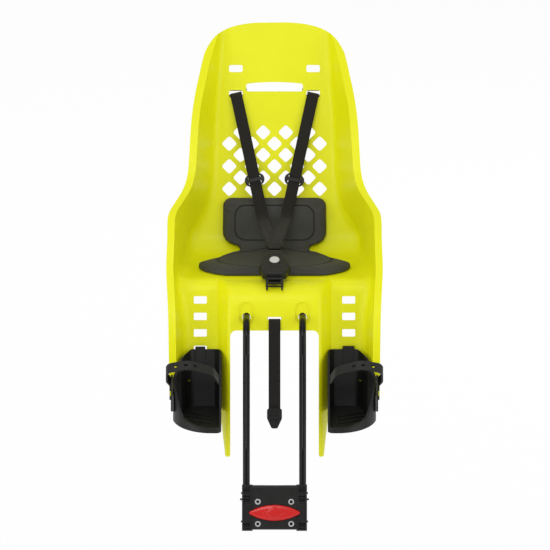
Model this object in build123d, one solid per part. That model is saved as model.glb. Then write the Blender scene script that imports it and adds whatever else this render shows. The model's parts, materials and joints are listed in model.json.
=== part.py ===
from build123d import *
import os
from math import cos, radians, sin, sqrt, tan

# Sizes in millimetres, in the seat's own frame: X across, Y rearward, Z up along the seat tube,
# with the origin on the tube axis inside the clamp. The export turns all of it by the tube's lean.
LEAN = 18.0  # seat tube angle from upright, which is also the slope of the pan in the seat's frame
WALL = 4.0
PANEL_Y = 60.0  # front panel, behind the tube axis
PAN_DEPTH = 192.0
PAN_HEIGHT = 373.0  # front edge of the pan above the clamp
BACK_HEIGHT = 452.0  # pan front edge to head arch
LEG_DEPTH = 35.0  # leg channel wall behind the front panel
LEG_LENGTH = 185.0
FIN_LENGTH = 288.0
FIN_TIP = 8.5  # width of a fin at its foot
BACK_HALF = 104.0  # flat of the back at the vents
HIP_HALF = 145.0
LEG_HALF = 153.5  # leg channel at its back wall
LIP_WIDTH = 8.0
BACK_RADIUS = 45.0
FALL_RADIUS = 24.0
SIDE_RADIUS = 20.0
FRONT_HALF = 79.0  # front panel
FIN_SPREAD = 0.5  # sideways run of the fins for each step back
NOSE_RADIUS = 34.0
NOSE_SIDE_RADIUS = 13.0
ARCH_HALF = 75.0  # opening between the fins
ARCH_DROP = 74.0  # pan front edge to the opening

VENT_PITCH = 38.6
VENT_SIDE = 19.0
VENT_ROWS = 6
HANDLE_WIDTH = 97.0
HANDLE_HEIGHT = 16.0
HANDLE_ARCH = 3.0
SLOT_WIDTH = 23.0
SLOT_HEIGHT = 12.0
SLOT_CORNER = 3.0
SLOT_X = 66.0

PAD_THICK = 10.0
PAD_SETBACK = 54.0  # front panel to the front edge of the pad
PAD_HALF = 130.0
PAD_BACK_HALF = 91.0
PAD_WAIST = 60.0

WEB_WIDTH = 20.0
WEB_THICK = 1.6
BUCKLE_TILT = 39.0
BUCKLE_LENGTH = 64.0
BUCKLE_WIDTH = 53.0
TONGUE_WIDTH = 28.0
BUTTON_DIAMETER = 17.0
CROTCH_Y = 91.0  # crotch slot in the pan

CLIP_PITCH = 28.0
CLIP_ROWS = 4
CLIP_SETBACK = 27.5  # slot centres inside the outer side of the leg channel
CLIP_WIDTH = 22.0
CLIP_HEIGHT = 12.5
FOOT_WALL = 3.5
FOOT_PLATE = 4.5  # back plate of the footrest
FOOT_DROP = 200.0  # pan front edge to the heel of the footrest
FOOT_SLOPE = 21.4
FOOT_INNER = 90.0
FOOT_REACH = 18.5  # outer side of the footrest beyond the leg channel
FOOT_TOE_Y = -18.0
FOOT_STRAP_WIDTH = 18.0
FOOT_STRAP_THICK = 3.0

ROD_DIAMETER = 12.0
ROD_X = 47.6
ROD_BLOCK_Y = -18.0
ROD_UPPER_Y = 22.0
ROD_DROP = 52.0  # pan front edge to the rods where they pass the panel
ROD_BEND = 30.0
SADDLE_FROM = 64.0
SADDLE_LENGTH = 74.0

TUBE_RADIUS = 15.9
LINER = 2.1
BLOCK_HALF = 55.0
BLOCK_TOP = 39.0
BLOCK_FRONT = -38.0
PART_GAP = 2.0
JAW_REAR = 30.0
SCREW_X = 28.2
SCREW_MID_Z = -8.5
SCREW_SPAN_Z = 37.4
RELEASE_HALF = 46.0
RELEASE_HEIGHT = 27.0
RELEASE_TRAVEL = 5.0
LATCH_RATIO = 0.6

SLOPE = tan(radians(LEAN))
BACK_Y = PANEL_Y + PAN_DEPTH * cos(radians(LEAN))
LEG_Y = PANEL_Y + LEG_DEPTH
CLIP_X = LEG_HALF - CLIP_SETBACK
CLIP_TOP = PAN_HEIGHT - 22
FOOT_OUTER = LEG_HALF + FOOT_REACH
TOP_Z = PAN_HEIGHT + BACK_HEIGHT
FRONT_Y = PANEL_Y - 120
REAR_Y = BACK_Y + 75
LOW_Z = PAN_HEIGHT - 330


def pan_z(y):
    return PAN_HEIGHT + (y - PANEL_Y) * SLOPE


def stations():
    # height, half width at the back plane, flare of the side, rim depth
    up = BACK_HEIGHT / 450
    span = BACK_Y - PANEL_Y
    hip = HIP_HALF - BACK_HALF
    leg = LEG_HALF - 0.30 * (BACK_Y - LEG_Y)
    return [
        (LOW_Z, leg - 4, 0.30, PANEL_Y - 5),
        (PAN_HEIGHT - 145, leg, 0.30, PANEL_Y - 8),
        (PAN_HEIGHT - 40, leg + 4, 0.29, PANEL_Y - 6),
        (PAN_HEIGHT + 45 * up, HIP_HALF, 0.17, PANEL_Y + 0.13 * span),
        (PAN_HEIGHT + 88 * up, HIP_HALF - 1, 0.175, PANEL_Y + 0.21 * span),
        (PAN_HEIGHT + 112 * up, BACK_HALF + 0.61 * hip, 0.29, PANEL_Y + 0.28 * span),
        (PAN_HEIGHT + 133 * up, BACK_HALF + 0.28 * hip, 0.395, PANEL_Y + 0.36 * span),
        (PAN_HEIGHT + 170 * up, BACK_HALF + 3, 0.385, PANEL_Y + 0.51 * span),
        (PAN_HEIGHT + 225 * up, BACK_HALF, 0.375, PANEL_Y + 0.59 * span),
        (PAN_HEIGHT + 315 * up, BACK_HALF - 5, 0.46, PANEL_Y + 0.70 * span),
        (PAN_HEIGHT + 360 * up, BACK_HALF - 8, 0.48, PANEL_Y + 0.78 * span),
        (PAN_HEIGHT + 405 * up, BACK_HALF - 12, 0.50, PANEL_Y + 0.87 * span),
        (PAN_HEIGHT + 440 * up, BACK_HALF - 15, 0.50, PANEL_Y + 0.95 * span),
        (PAN_HEIGHT + 475 * up, BACK_HALF - 18, 0.50, PANEL_Y + 0.99 * span),
    ]


def side_prism(face, half):
    return extrude(Plane.YZ * face, amount=half, both=True)


def lateral(grow):
    def outline(y):
        right = []
        for z, half, flare, rim in stations():
            right.append((half + flare * (BACK_Y - y) + grow * sqrt(1 + flare**2), z))
        left = [(-x, z) for x, z in right]
        edges = [Spline(*right), Line(right[-1], left[-1]), Spline(*left), Line(left[0], right[0])]
        return Plane.XZ.offset(-y) * make_face(edges)

    return loft([outline(FRONT_Y), outline(REAR_Y)], ruled=True)


def spine(grow, leg_wall=LEG_Y):
    # region in front of the back, above the pan and in front of the leg wall, all moved out by grow
    drop = grow / cos(radians(LEAN))
    back = BACK_Y + grow
    leg = leg_wall + grow
    low = LOW_Z - 20
    high = TOP_Z + 60
    corner = (leg, pan_z(leg) - drop)
    heel = (back, pan_z(back) - drop)
    points = [(FRONT_Y - 5, low), (leg, low), corner, heel, (back, high), (FRONT_Y - 5, high)]
    face = make_face(Polyline(*points, close=True))
    face = fillet(face.vertices().sort_by_distance(Vector(*corner, 0))[0], FALL_RADIUS - grow)
    face = fillet(face.vertices().sort_by_distance(Vector(*heel, 0))[0], BACK_RADIUS + grow)
    return side_prism(face, 260)


def bucket(grow):
    body = spine(grow) & lateral(grow)
    seams = [e for e in body.edges() if abs((e @ 0.5).X) > 20 and LOW_Z + 1 < (e @ 0.5).Z < TOP_Z + 20]
    seams = [e for e in seams if (e @ 0.5).Y > LEG_Y - 1 and (e @ 0.5).Y < BACK_Y + grow + 1]
    seams = [e for e in seams if abs(abs((e @ 0.0).X) - abs((e @ 1.0).X)) < 100]
    return fillet(seams, SIDE_RADIUS + grow)


def rim_prism(shift):
    points = [(rim + shift, z) for z, half, flare, rim in stations()]
    edges = [Spline(*points), Polyline(points[-1], (REAR_Y, points[-1][1]), (REAR_Y, LOW_Z), points[0])]
    return side_prism(make_face(edges), 260)


def head_prism():
    ear = TOP_Z - 125
    top = [(0, TOP_Z), (56, TOP_Z - 3.5), (101, TOP_Z - 24), (124, TOP_Z - 64), (136, ear)]
    right = Spline(*top, tangents=[(1, 0), (0.12, -1)])
    left = mirror(right, Plane.YZ)
    low = [(136, ear), (260, ear), (260, LOW_Z), (-260, LOW_Z), (-260, ear), (-136, ear)]
    face = make_face([right, left, Polyline(*low)])
    return extrude(Plane.XZ * face, amount=500, both=True)


def front_block(inset):
    # the centre part between the leg channels: pan nose, front panel and both fins
    base = LOW_Z - 40
    front = PANEL_Y + inset
    deep = LEG_Y + WALL + 60
    half = FRONT_HALF - inset
    wide = half + FIN_SPREAD * (deep - front)
    plan = [(-half, front), (half, front), (wide, deep), (-wide, deep)]
    block = extrude(Pos(0, 0, base) * make_face(Polyline(*plan, close=True)), amount=TOP_Z - base)
    drop = inset / cos(radians(LEAN))
    rear = deep + 10
    side = [(front, base - 20), (front, pan_z(front) - drop), (rear, pan_z(rear) - drop), (rear, base - 20)]
    face = make_face(Polyline(*side, close=True))
    face = fillet(face.vertices().sort_by_distance(Vector(*side[1], 0))[0], NOSE_RADIUS - inset)
    block = block & side_prism(face, 260)
    edges = [e for e in block.edges() if abs((e @ 0.5).X) > half - 5]
    edges = [e for e in edges if (e @ 0.5).Y < deep - 1 and (e @ 0.5).Z > base + 1]
    return fillet(edges, NOSE_SIDE_RADIUS - inset)


def wall_cut(face, y0, y1):
    # prism through a wall that faces the rider, between two depths
    return extrude(Plane.XZ.offset(-y1) * face, amount=y1 - y0)


def fin_prism():
    # side view of the fins, crossed with their front view round the opening between them
    low = PAN_HEIGHT - FIN_LENGTH
    rear = LEG_Y + WALL
    leg_end = PAN_HEIGHT - LEG_LENGTH
    points = [(PANEL_Y - 5, TOP_Z), (PANEL_Y - 5, low), (PANEL_Y + 16, low)]
    points += [(rear, leg_end - 25), (rear, TOP_Z)]
    face = make_face(Polyline(*points, close=True))
    face = fillet(face.vertices().sort_by_distance(Vector(*points[2], 0))[0], 10)
    face = fillet(face.vertices().sort_by_distance(Vector(*points[3], 0))[0], 25)
    tip = ARCH_HALF + FIN_TIP
    arch = PAN_HEIGHT - ARCH_DROP
    right = [(ARCH_HALF, arch), (ARCH_HALF, low), (tip, low), (tip + 9, leg_end - 25)]
    right += [(260, leg_end), (260, TOP_Z)]
    left = [(-x, z) for x, z in reversed(right)]
    view = make_face(Polyline(*right, *left, close=True))
    view = fillet([v for v in view.vertices() if v.Y < low + 1], 0.45 * FIN_TIP)
    view = fillet([v for v in view.vertices() if abs(v.Y - arch) < 1 and abs(v.X) < tip], 10)
    return side_prism(face, 260) & extrude(Plane.XZ * view, amount=400, both=True)


def handle_outline():
    half = HANDLE_WIDTH / 2
    low = -HANDLE_HEIGHT / 2
    high = HANDLE_HEIGHT / 2 - HANDLE_ARCH
    arch = ThreePointArc((-half, high), (0, HANDLE_HEIGHT / 2), (half, high))
    face = make_face([arch, Polyline((half, high), (half, low), (-half, low), (-half, high))])
    return fillet(face.vertices(), 4.5)


def seat_shell():
    outer = bucket(WALL)
    lip = (bucket(WALL + LIP_WIDTH) - outer) & (rim_prism(0) - rim_prism(WALL))
    shell = (outer - bucket(0)) & rim_prism(0)
    shell = shell + lip
    shell = shell & head_prism()
    leg_end = PAN_HEIGHT - LEG_LENGTH
    shell = shell - Pos(0, 0, leg_end - 250) * Box(600, 900, 500)
    shell = shell + (front_block(0) & fin_prism())
    shell = shell - front_block(WALL)
    slot_z = TOP_Z - 122
    cuts = []
    for row in range(VENT_ROWS):
        z = TOP_Z - 188 - row * VENT_PITCH / 2
        steps = (-1.5, -0.5, 0.5, 1.5) if row % 2 == 0 else (-2, -1, 0, 1, 2)
        for step in steps:
            diamond = Pos(step * VENT_PITCH, z) * Rot(0, 0, 45) * RectangleRounded(VENT_SIDE, VENT_SIDE, 4)
            cuts.append(diamond)
    slot = RectangleRounded(SLOT_WIDTH, SLOT_HEIGHT, SLOT_CORNER)
    cuts += [Pos(side * SLOT_X, z) * slot for side in (-1, 1) for z in (slot_z, TOP_Z - 79)]
    cuts.append(Pos(0, TOP_Z - 110) * handle_outline())
    tools = [wall_cut(face, BACK_Y - 30, BACK_Y + 30) for face in cuts]
    for side in (-1, 1):
        for step in range(CLIP_ROWS):
            face = RectangleRounded(CLIP_WIDTH, CLIP_HEIGHT, 2)
            face = Pos(side * CLIP_X, CLIP_TOP - step * CLIP_PITCH) * face
            tools.append(wall_cut(face, LEG_Y - 20, LEG_Y + 20))
        # a shallow dish in the panel round each rod, then the slanted rod's own hole
        rod_z = PAN_HEIGHT - ROD_DROP
        dish = Pos(side * ROD_X, rod_z + 7) * SlotOverall(38, 25, rotation=90)
        tall = ROD_DIAMETER / cos(radians(LEAN)) + WALL * SLOPE + 1.6
        hole = SlotOverall(tall, ROD_DIAMETER + 1.4, rotation=90)
        hole = Pos(side * ROD_X, rod_z + WALL * SLOPE / 2) * hole
        dish_depth = PANEL_Y + 0.45 * WALL
        tools.append(wall_cut(dish, PANEL_Y - 20, dish_depth) + wall_cut(hole, PANEL_Y - 20, PANEL_Y + 20))
    tools.append(wall_cut(safety_slot(4), PANEL_Y - 20, PANEL_Y + 20))
    tools.append(Pos(0, CROTCH_Y, pan_z(CROTCH_Y)) * Box(WEB_WIDTH + 6, 9, 40))
    return shell - tools


def seat_pad():
    nose = PANEL_Y - 40
    layer = spine(0, nose) - spine(-PAD_THICK, nose)
    bend = pan_z(BACK_Y)
    top = PAN_HEIGHT + 153
    foot = bend + 12
    half = PAD_BACK_HALF
    back = make_face(Polyline((half - 3, top), (3 - half, top), (-half, foot), (half, foot), close=True))
    back = fillet([v for v in back.vertices() if v.Y > top - 1], 14)
    back = fillet([v for v in back.vertices() if v.Y < foot + 1], 26)
    back = extrude(Plane.XZ * back, amount=400, both=True)
    waist = Pos(0, BACK_Y - 20, bend + 10) * Box(2 * PAD_WAIST, 90, 70)
    wing = PAD_HALF / 130
    rear = BACK_Y - 24
    front = PANEL_Y + PAD_SETBACK
    side = [(PAD_WAIST, rear), (80 * wing, front + 92), (100 * wing, front + 70), (PAD_HALF, front + 40)]
    side += [(115 * wing, front + 17), (76 * wing, front)]
    right = Spline(*side)
    left = mirror(right, Plane.YZ)
    ends = [Line((-side[-1][0], side[-1][1]), side[-1]), Line((-PAD_WAIST, rear), (PAD_WAIST, rear))]
    low = PAN_HEIGHT - 20
    seat = extrude(Pos(0, 0, low) * make_face([right, left] + ends), amount=bend + 30 - low)
    return layer & (back + waist + seat)


def strip(points, radius, thick, width, plane):
    path = FilletPolyline(*points, radius=radius)
    outline = path.wire().offset_2d(thick, kind=Kind.INTERSECTION, side=Side.LEFT, closed=True)
    return extrude(plane * make_face(outline.edges()), amount=width / 2, both=True)


STRAP_TOP = Vector(SLOT_X, BACK_Y - 2, TOP_Z - 121.5)
STRAP_LOW = Vector(20.5, BACK_Y - 18, PAN_HEIGHT + 121)
STRAP_RUN = (STRAP_LOW - STRAP_TOP).normalized()
STRAP_ACROSS = Vector(0, 1, 0).cross(STRAP_RUN).normalized()
STRAP_PLANE = Plane(origin=STRAP_TOP, x_dir=STRAP_RUN, z_dir=STRAP_ACROSS)
STRAP_LENGTH = (STRAP_LOW - STRAP_TOP).length
ADJUSTER_AT = STRAP_LENGTH * 0.705
STRAP_STACK = WEB_THICK / 2 + 0.25  # half of the pitch of the two straps in the tongue


def web_section(middle, across, along):
    # the webbing's rear face passes through the middle
    plane = Plane(origin=middle, x_dir=across, z_dir=along)
    return plane * Pos(0, -WEB_THICK / 2) * Rectangle(WEB_WIDTH, WEB_THICK)


def shoulder_strap(stack):
    # drawn for the left shoulder
    out = STRAP_ACROSS.cross(STRAP_RUN)
    behind = STRAP_TOP - STRAP_RUN * 2 - out * 15
    tongue = BUCKLE_PLANE.from_local_coords(Vector(1.5, TONGUE_BAR, stack * STRAP_STACK))
    down = (tongue - STRAP_LOW).normalized()
    lift = down.cross(Vector(1, 0, 0)).normalized() * stack * STRAP_STACK
    level = Vector(-1, 0, 0)
    stops = [
        (behind, STRAP_ACROSS, out),
        (STRAP_TOP, STRAP_ACROSS, (out + STRAP_RUN).normalized()),
        (STRAP_LOW, STRAP_ACROSS, (STRAP_RUN + down).normalized()),
        (STRAP_LOW + down * 12 + lift, (STRAP_ACROSS + level).normalized(), down),
        (tongue, level, down),
    ]
    strap = None
    for before, after in zip(stops, stops[1:]):
        run = loft([web_section(*before), web_section(*after)], ruled=True)
        strap = run if strap is None else strap + run
    return strap


def strap_adjuster():
    # the webbing passes behind the middle bar and in front of both end bars
    place = STRAP_PLANE * Pos(ADJUSTER_AT, 0, 0) * Rot(-90, 0, 0)
    frame = Pos(0, 0, -3.2) * SlotOverall(34, 21, rotation=90)
    ring = extrude(frame - Pos(0, 0, -3.2) * Rectangle(13, WEB_WIDTH + 1.6), amount=2.8)
    rails = extrude(frame - Pos(0, 0, -3.2) * Rectangle(21, WEB_WIDTH + 1.6), amount=7.4)
    rails = rails & Box(12, 60, 20)
    bar = extrude(Pos(0, 0, WEB_THICK + 0.4) * Rectangle(6, WEB_WIDTH + 4), amount=2.2)
    return place * (ring + rails + bar)


def strap_anchor():
    plate = RectangleRounded(38, 18, 4) - RectangleRounded(WEB_WIDTH + 3, 7, 1)
    return wall_cut(Pos(SLOT_X, STRAP_TOP.Z + 1) * plate, BACK_Y + WALL, BACK_Y + WALL + 4)


BUCKLE_Y = PANEL_Y + 34
BUCKLE_Z = PAN_HEIGHT + 38
BUCKLE_UP = (0, -sin(radians(BUCKLE_TILT)), cos(radians(BUCKLE_TILT)))
BUCKLE_PLANE = Plane(origin=(0, BUCKLE_Y, BUCKLE_Z), x_dir=(1, 0, 0), z_dir=BUCKLE_UP)
BUTTON_AT = 5.0
TONGUE_BAR = BUCKLE_LENGTH / 2 + 20


def buckle_outline(shrink):
    half = BUCKLE_WIDTH / 2 - shrink
    long = BUCKLE_LENGTH / 2 - shrink
    right = [(12, -long), (0.75 * half, -long + 3), (half, -10), (0.72 * half, 15), (12, long)]
    left = [(-x, y) for x, y in reversed(right)]
    face = make_face(Polyline(*right, *left, close=True))
    return fillet(face.vertices(), 3.5)


def buckle_body():
    body = extrude(Pos(0, 0, -8) * buckle_outline(0), amount=8)
    body = body - Pos(0, BUTTON_AT, 0) * Cylinder(BUTTON_DIAMETER / 2 + 1.5, 12)
    body = body - Pos(0, BUCKLE_LENGTH / 2 - 10, -1) * Box(23, 24, 4.2)
    return BUCKLE_PLANE * body


def buckle_cover():
    cover = extrude(buckle_outline(0), amount=7)
    rim = cover.faces().sort_by(Axis.Z)[-1].edges()
    cover = fillet(rim, 2.5)
    cover = cover - Pos(0, BUTTON_AT, 5) * Cylinder(BUTTON_DIAMETER / 2 + 0.3, 20)
    cover = cover - Pos(0, BUCKLE_LENGTH / 2 - 10, -1) * Box(23, 24, 4.2)
    for side in (-1, 1):
        cover = cover - Pos(side * (BUTTON_DIAMETER / 2 - 1), BUTTON_AT - 12, 7) * Box(1.4, 11, 2)
    return BUCKLE_PLANE * cover


def buckle_button():
    cap = Pos(0, BUTTON_AT, 3.6) * Cylinder(BUTTON_DIAMETER / 2, 8)
    cap = fillet(cap.edges().group_by(Axis.Z)[-1], 1.2)
    flange = Pos(0, BUTTON_AT, -1.1) * Cylinder(BUTTON_DIAMETER / 2 + 1, 1.6)
    return BUCKLE_PLANE * (cap + flange)


def leaf_spring(half, rise, width, thick):
    # a bowed strip between two faces, drawn from its middle
    lower = ThreePointArc((-half, 0), (0, rise - thick), (half, 0))
    upper = ThreePointArc((-half, thick), (0, rise), (half, thick))
    face = make_face([lower, upper, Line(lower @ 0, upper @ 0), Line(lower @ 1, upper @ 1)])
    return extrude(Plane.XZ * face, amount=width / 2, both=True)


def buckle_spring():
    return BUCKLE_PLANE * Pos(0, BUTTON_AT, -5.9) * leaf_spring(8, 3.9, 5, 0.5)


def harness_tongue():
    blade = Pos(0, BUCKLE_LENGTH / 2 - 2, -1) * Box(22, 20, 3)
    neck = Pos(0, BUCKLE_LENGTH / 2 + 11, 0) * Box(22, 8, 7)
    bar = Pos(0, TONGUE_BAR, 0) * Box(TONGUE_WIDTH, 12, 4 * STRAP_STACK + 4.8)
    bar = fillet(bar.edges().filter_by(Axis.X), 3)
    bar = fillet(bar.edges().filter_by(Axis.Z), 3)
    mouth = Pos(0, TONGUE_BAR + 3, 0) * Box(WEB_WIDTH + 7, 11, 4 * STRAP_STACK + 2)
    return BUCKLE_PLANE * (blade + neck + bar - mouth)


CROTCH_TILT = 62.0


def crotch_plane():
    end = BUCKLE_PLANE.from_local_coords(Vector(0, -BUCKLE_LENGTH / 2, -1))
    up = (0, -sin(radians(CROTCH_TILT)), cos(radians(CROTCH_TILT)))
    return Plane(origin=end, x_dir=(1, 0, 0), z_dir=up)


def crotch_adjuster():
    wide = WEB_WIDTH + 2
    frame = Pos(0, -10.5) * Rectangle(30, 17)
    frame = frame - Pos(0, -8.6) * Rectangle(wide, 5) - Pos(0, -15.6) * Rectangle(wide, 4.4)
    body = extrude(Pos(0, 0, -2.5) * frame, amount=5)
    for side in (-1, 1):
        body = body + Pos(side * 12.8, -21.5, 0) * Box(3.4, 7, 4)
    return crotch_plane() * body


def crotch_strap():
    plane = crotch_plane()
    bar = plane.from_local_coords(Vector(0, -12.4, -5))
    low = pan_z(CROTCH_Y)
    points = [(CROTCH_Y, low - 24), (CROTCH_Y, low + 4), (bar.Y, bar.Z)]
    return strip(points, 3, WEB_THICK, WEB_WIDTH, Plane.YZ)


def crotch_anchor():
    plate = Box(40, 12, 4) - Box(WEB_WIDTH + 3, 7, 30)
    return Pos(0, CROTCH_Y, pan_z(CROTCH_Y)) * Rot(LEAN, 0, 0) * Pos(0, -2.1, -WALL - 2) * plate


FOOT_REAR = LEG_Y - 1
HEEL_Z = PAN_HEIGHT - FOOT_DROP
CLIP_Z = CLIP_TOP - (CLIP_ROWS - 1) * CLIP_PITCH
FOOT_STRAP_Y = PANEL_Y - 25.5
FOOT_STRAP_LEAN = 35.0


def sole_z(y):
    return HEEL_Z - (FOOT_REAR - y) * tan(radians(FOOT_SLOPE))


def foot_plan(inset):
    out = LEG_HALF - 19.5
    toe_in = (FOOT_INNER + 22, FOOT_TOE_Y)
    toe_out = (FOOT_OUTER, FOOT_TOE_Y + 56)
    plan = [toe_out, (FOOT_OUTER, PANEL_Y - 19), (LEG_HALF + 7, PANEL_Y - 8), (LEG_HALF - 2, LEG_Y - 16)]
    plan += [(out + 11, FOOT_REAR - 6), (out, FOOT_REAR), (FOOT_INNER + 10, FOOT_REAR)]
    plan += [(FOOT_INNER, FOOT_REAR - 16), (FOOT_INNER, FOOT_TOE_Y), toe_in]
    bend = ThreePointArc(toe_in, (FOOT_OUTER - 17, FOOT_TOE_Y + 21), toe_out)
    face = make_face([Polyline(*plan), bend])
    face = fillet(face.vertices().sort_by_distance(Vector(FOOT_INNER, FOOT_TOE_Y, 0))[0], 9)
    if inset == 0:
        return face
    return offset(face, amount=-inset)


def foot_view():
    # front view of the cup: a wide back plate with a long chamfer on its outer side
    top = CLIP_Z + 0.5
    low = HEEL_Z - 150
    turn = CLIP_X + 15.5
    wide = FOOT_OUTER + 10
    points = [(FOOT_INNER, low), (FOOT_INNER, top), (turn, top)]
    points += [(wide, top - 0.9 * (wide - turn)), (wide, low)]
    face = make_face(Polyline(*points, close=True))
    face = fillet(face.vertices().sort_by_distance(Vector(*points[1], 0))[0], 7)
    face = fillet(face.vertices().sort_by_distance(Vector(*points[2], 0))[0], 9)
    return extrude(Plane.XZ * face, amount=400, both=True)


def footrest():
    top = CLIP_Z + 1
    toe = FOOT_TOE_Y - 5
    shin = FOOT_TOE_Y + 24
    profile = [(FOOT_REAR, sole_z(FOOT_REAR) - FOOT_WALL), (FOOT_REAR, top), (FOOT_REAR - 12, top)]
    profile += [(PANEL_Y - 6, HEEL_Z + 76), (PANEL_Y - 20, HEEL_Z + 46), (shin, sole_z(shin) + 14)]
    profile += [(toe, sole_z(toe) + 1), (toe, sole_z(toe) - FOOT_WALL)]
    cup = extrude(foot_plan(0), amount=600) & side_prism(make_face(Polyline(*profile, close=True)), 260)
    cup = cup & foot_view()
    plate = FOOT_REAR - FOOT_PLATE
    room = [(plate, sole_z(plate)), (plate, 600), (toe - 20, 600), (toe - 20, sole_z(toe - 20))]
    room = side_prism(make_face(Polyline(*room, close=True)), 260)
    hollow = extrude(foot_plan(FOOT_WALL), amount=600) & room
    drain = wall_cut(Pos(CLIP_X + 19, HEEL_Z + 41) * Circle(2.2), LEG_Y - 25, LEG_Y + 5)
    cup = cup - [hollow, drain]
    middle = (FOOT_INNER + FOOT_OUTER) / 2
    for step in range(3):
        y = FOOT_TOE_Y + 40 + 15 * step
        rib = Rot(FOOT_SLOPE, 0, 0) * Rot(0, 0, 24) * Box(50, 2.6, 2.4)
        cup = cup + Pos(middle, y, sole_z(y) + 0.4) * rib
    return cup


def footrest_clip():
    wide = CLIP_WIDTH - 5
    front = FOOT_REAR - FOOT_PLATE - 2
    spring = Pos(CLIP_X, front + 1, CLIP_Z - 16) * Box(wide, 2, 42)
    rear = LEG_Y + WALL + 3
    nose = Pos(CLIP_X, (front + rear) / 2, CLIP_Z + 3) * Box(wide, rear - front, 4)
    hook = Pos(CLIP_X, rear - 1.2, CLIP_Z - 3) * Box(wide, 2.4, 16)
    return spring + nose + hook


def foot_strap():
    lean = radians(FOOT_STRAP_LEAN)
    base = HEEL_Z + 42
    plane = Plane(origin=(0, FOOT_STRAP_Y, base), x_dir=(1, 0, 0), z_dir=(0, -sin(lean), -cos(lean)))
    middle = (FOOT_INNER + FOOT_OUTER) / 2
    route = [(FOOT_INNER + FOOT_WALL + FOOT_STRAP_THICK + 0.3, 0), (middle - 25, 25), (middle + 15, 44)]
    route += [(FOOT_OUTER + 9, 34), (FOOT_OUTER + 9, 8), (FOOT_OUTER + 2, -6)]
    band = strip(route, [20, 24, 12, 8], FOOT_STRAP_THICK, FOOT_STRAP_WIDTH, plane)
    for step in range(3):
        band = band - plane * Pos(middle + 3 + 16 * step, 42) * Box(6, 16, 4.5)
    tail = Box(FOOT_STRAP_THICK + 0.4, FOOT_STRAP_WIDTH, 62)
    tail = Pos(FOOT_OUTER + 1.9, FOOT_STRAP_Y, base - 22) * fillet(tail.edges().filter_by(Axis.X), 6)
    for drop in (15, 30):
        tail = tail + Pos(FOOT_OUTER + 4.4, FOOT_STRAP_Y, base - drop) * Rot(0, 90, 0) * Cylinder(3.5, 3)
    return band + tail


RUN_PLANE = Plane(
    origin=(0, PANEL_Y, PAN_HEIGHT - ROD_DROP),
    x_dir=(1, 0, 0),
    z_dir=(0, -sin(radians(LEAN)), cos(radians(LEAN))),
)
RUN_END = SADDLE_FROM + SADDLE_LENGTH + 2
UNDER_PAN = ROD_DROP * cos(radians(LEAN)) - WALL


def support_rod():
    knee_z = PAN_HEIGHT - ROD_DROP - (PANEL_Y - ROD_UPPER_Y) * SLOPE
    run = RUN_PLANE.from_local_coords(Vector(0, RUN_END, 0))
    points = [(ROD_BLOCK_Y, 6 - BLOCK_TOP), (ROD_BLOCK_Y, BLOCK_TOP + 59), (ROD_UPPER_Y, PAN_HEIGHT - 117)]
    points += [(ROD_UPPER_Y, knee_z), (run.Y, run.Z)]
    path = Plane.YZ.offset(ROD_X) * FilletPolyline(*points, radius=ROD_BEND)
    leg = sweep(Plane(path @ 0, z_dir=path % 0) * Circle(ROD_DIAMETER / 2), path)
    turn = [(-ROD_X, RUN_END), (-ROD_X, RUN_END + 42), (ROD_X, RUN_END + 42), (ROD_X, RUN_END)]
    loop = RUN_PLANE * FilletPolyline(*turn, radius=32)
    bow = sweep(Plane(loop @ 0, z_dir=loop % 0) * Circle(ROD_DIAMETER / 2), loop)
    notch = Pos(ROD_X - ROD_DIAMETER / 2, ROD_BLOCK_Y, SCREW_MID_Z) * Box(6, 20, 11.4)
    leg = leg - notch
    return leg + mirror(leg, Plane.YZ) + bow


def rod_grooves(radius):
    groove = Rot(90, 0, 0) * Cylinder(radius, 400)
    return [RUN_PLANE * Pos(side * ROD_X, SADDLE_FROM + 40, 0) * groove for side in (-1, 1)]


def saddle_spots():
    middle = SADDLE_FROM + SADDLE_LENGTH / 2
    return [(x, middle + y) for x in (-34, 34) for y in (-0.3 * SADDLE_LENGTH, 0.3 * SADDLE_LENGTH)]


def rod_saddle():
    middle = SADDLE_FROM + SADDLE_LENGTH / 2
    block = Pos(0, middle, UNDER_PAN / 2) * Box(2 * ROD_X + 30, SADDLE_LENGTH, UNDER_PAN - 0.6)
    block = Pos(0, 0, 0.3) * block
    block = block - Pos(0, middle, UNDER_PAN / 2 - 10) * Box(48, SADDLE_LENGTH + 2, UNDER_PAN)
    block = RUN_PLANE * block
    holes = [RUN_PLANE * Pos(x, y, 8) * Cylinder(2.6, 30) for x, y in saddle_spots()]
    return block - rod_grooves(ROD_DIAMETER / 2 + 0.1) - holes


def rod_clamp_plate():
    middle = SADDLE_FROM + SADDLE_LENGTH / 2
    plate = RUN_PLANE * Pos(0, middle, -4.9) * Box(2 * ROD_X + 26, SADDLE_LENGTH - 8, 9)
    holes = [RUN_PLANE * Pos(x, y, -5) * Cylinder(2.8, 40) for x, y in saddle_spots()]
    return plate - rod_grooves(ROD_DIAMETER / 2 + 0.1) - holes


def saddle_screws():
    screws = []
    for x, y in saddle_spots():
        screw = Pos(0, 0, 3.5) * Cylinder(2.5, 27) + Pos(0, 0, -11.45) * Cylinder(5, 4)
        socket = extrude(Pos(0, 0, -14) * RegularPolygon(2.3, 6), amount=3)
        screws.append(RUN_PLANE * Pos(x, y, 0) * (screw - socket))
    return Compound(screws)


LINER_RADIUS = TUBE_RADIUS + LINER
BLOCK_DEPTH = -PART_GAP - BLOCK_FRONT
POCKET_FLOOR = BLOCK_FRONT + 11.0
LATCH_REAR = ROD_BLOCK_Y + 5
LATCH_FRONT = ROD_BLOCK_Y - 5
TOWER_FROM = BLOCK_HALF - 18


def screw_spots():
    half = SCREW_SPAN_Z / 2
    return [(x, SCREW_MID_Z + z) for x in (-SCREW_X, SCREW_X) for z in (-half, half)]


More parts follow.
